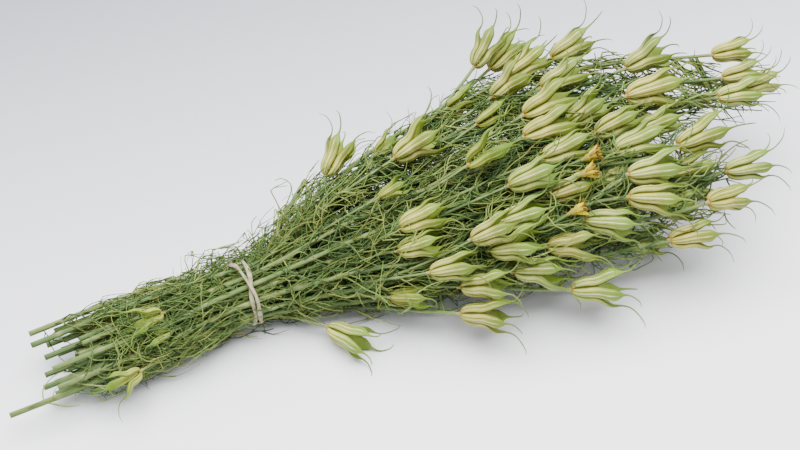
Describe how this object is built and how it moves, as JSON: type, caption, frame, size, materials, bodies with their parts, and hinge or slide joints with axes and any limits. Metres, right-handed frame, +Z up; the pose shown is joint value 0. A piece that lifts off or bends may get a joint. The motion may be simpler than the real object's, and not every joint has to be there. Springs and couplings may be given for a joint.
{
  "type": "tied bunch of dried seed-pod stems",
  "caption": "Dried leafy stems with horned seed pods, lying on their side and held together by an elastic band near the cut ends.",
  "frame": {"origin": "centre of the flat spot under the tie, where the bunch touches the table", "axes": "+X along the bunch from the tie to the pods, +Z up as the bunch lies, +Y across it to the far side"},
  "size_m": [0.4831, 0.2042, 0.0987],
  "materials": {
    "dried_plant": "dry, matt plant fibre",
    "tie_band": "off-white elastic, matt"
  },
  "bodies": {
    "root": {"leafy_stem_01": "dried_plant", "leafy_stem_02": "dried_plant", "leafy_stem_03": "dried_plant", "leafy_stem_04": "dried_plant", "leafy_stem_05": "dried_plant", "leafy_stem_06": "dried_plant", "leafy_stem_07": "dried_plant", "leafy_stem_08": "dried_plant", "leafy_stem_09": "dried_plant", "leafy_stem_10": "dried_plant", "leafy_stem_11": "dried_plant", "leafy_stem_12": "dried_plant", "leafy_stem_13": "dried_plant", "leafy_stem_14": "dried_plant", "leafy_stem_15": "dried_plant", "leafy_stem_16": "dried_plant", "leafy_stem_17": "dried_plant", "leafy_stem_18": "dried_plant", "leafy_stem_19": "dried_plant", "leafy_stem_20": "dried_plant", "leafy_stem_21": "dried_plant", "leafy_stem_22": "dried_plant", "leafy_stem_23": "dried_plant", "leafy_stem_24": "dried_plant", "leafy_stem_25": "dried_plant", "leafy_stem_26": "dried_plant", "leafy_stem_27": "dried_plant", "leafy_stem_28": "dried_plant", "leafy_stem_29": "dried_plant", "leafy_stem_30": "dried_plant", "tie_band": "tie_band"}
  },
  "joints": []
}
